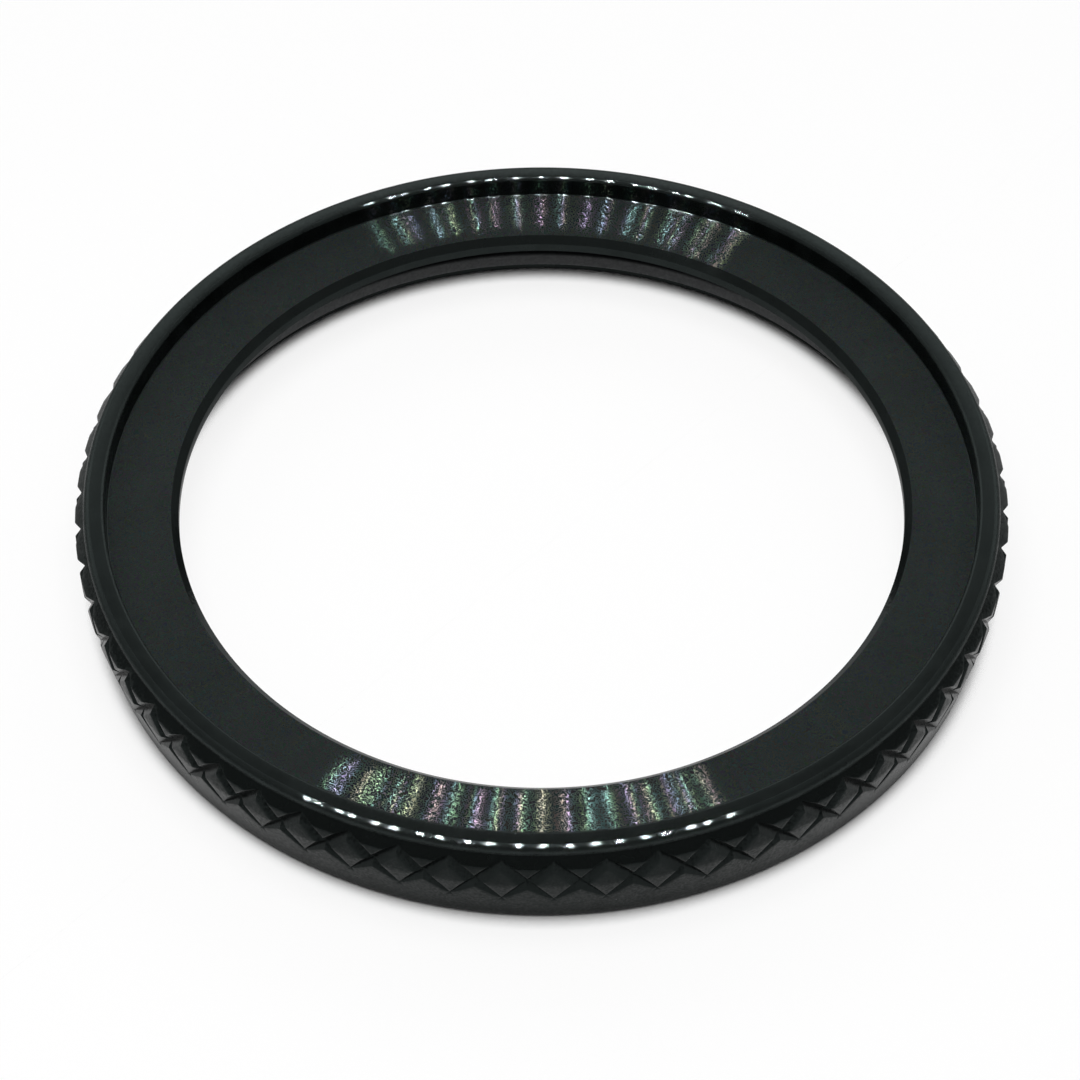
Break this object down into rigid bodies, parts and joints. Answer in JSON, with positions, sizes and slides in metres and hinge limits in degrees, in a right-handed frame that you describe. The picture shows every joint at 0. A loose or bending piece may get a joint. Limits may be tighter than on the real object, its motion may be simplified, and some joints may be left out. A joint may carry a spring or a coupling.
{
  "type": "rotating watch bezel",
  "caption": "Black rotating bezel for a diver's watch: a knurled steel ring with an open insert recess, click teeth below, and the case gasket it turns on.",
  "frame": {"origin": "centre of the ring's underside, on its axis", "axes": "+Z along the ring's axis, out through the open recess; one diamond of the knurl is centred on +X"},
  "size_m": [0.0408, 0.0408, 0.0049],
  "materials": {
    "black_steel": "thin hard black coat over turned steel: fine rings on the seat, polished rim, satin knurl",
    "gasket_rubber": "matte black"
  },
  "bodies": {
    "case_side": {"bezel_gasket": "gasket_rubber"},
    "bezel": {"bezel_ring": "black_steel"}
  },
  "joints": [
    {"name": "bezel_turn", "type": "hinge", "parent": "case_side", "child": "bezel", "pos_m": [0, 0, 0], "axis": [0, 0, 1], "continuous": true}
  ]
}
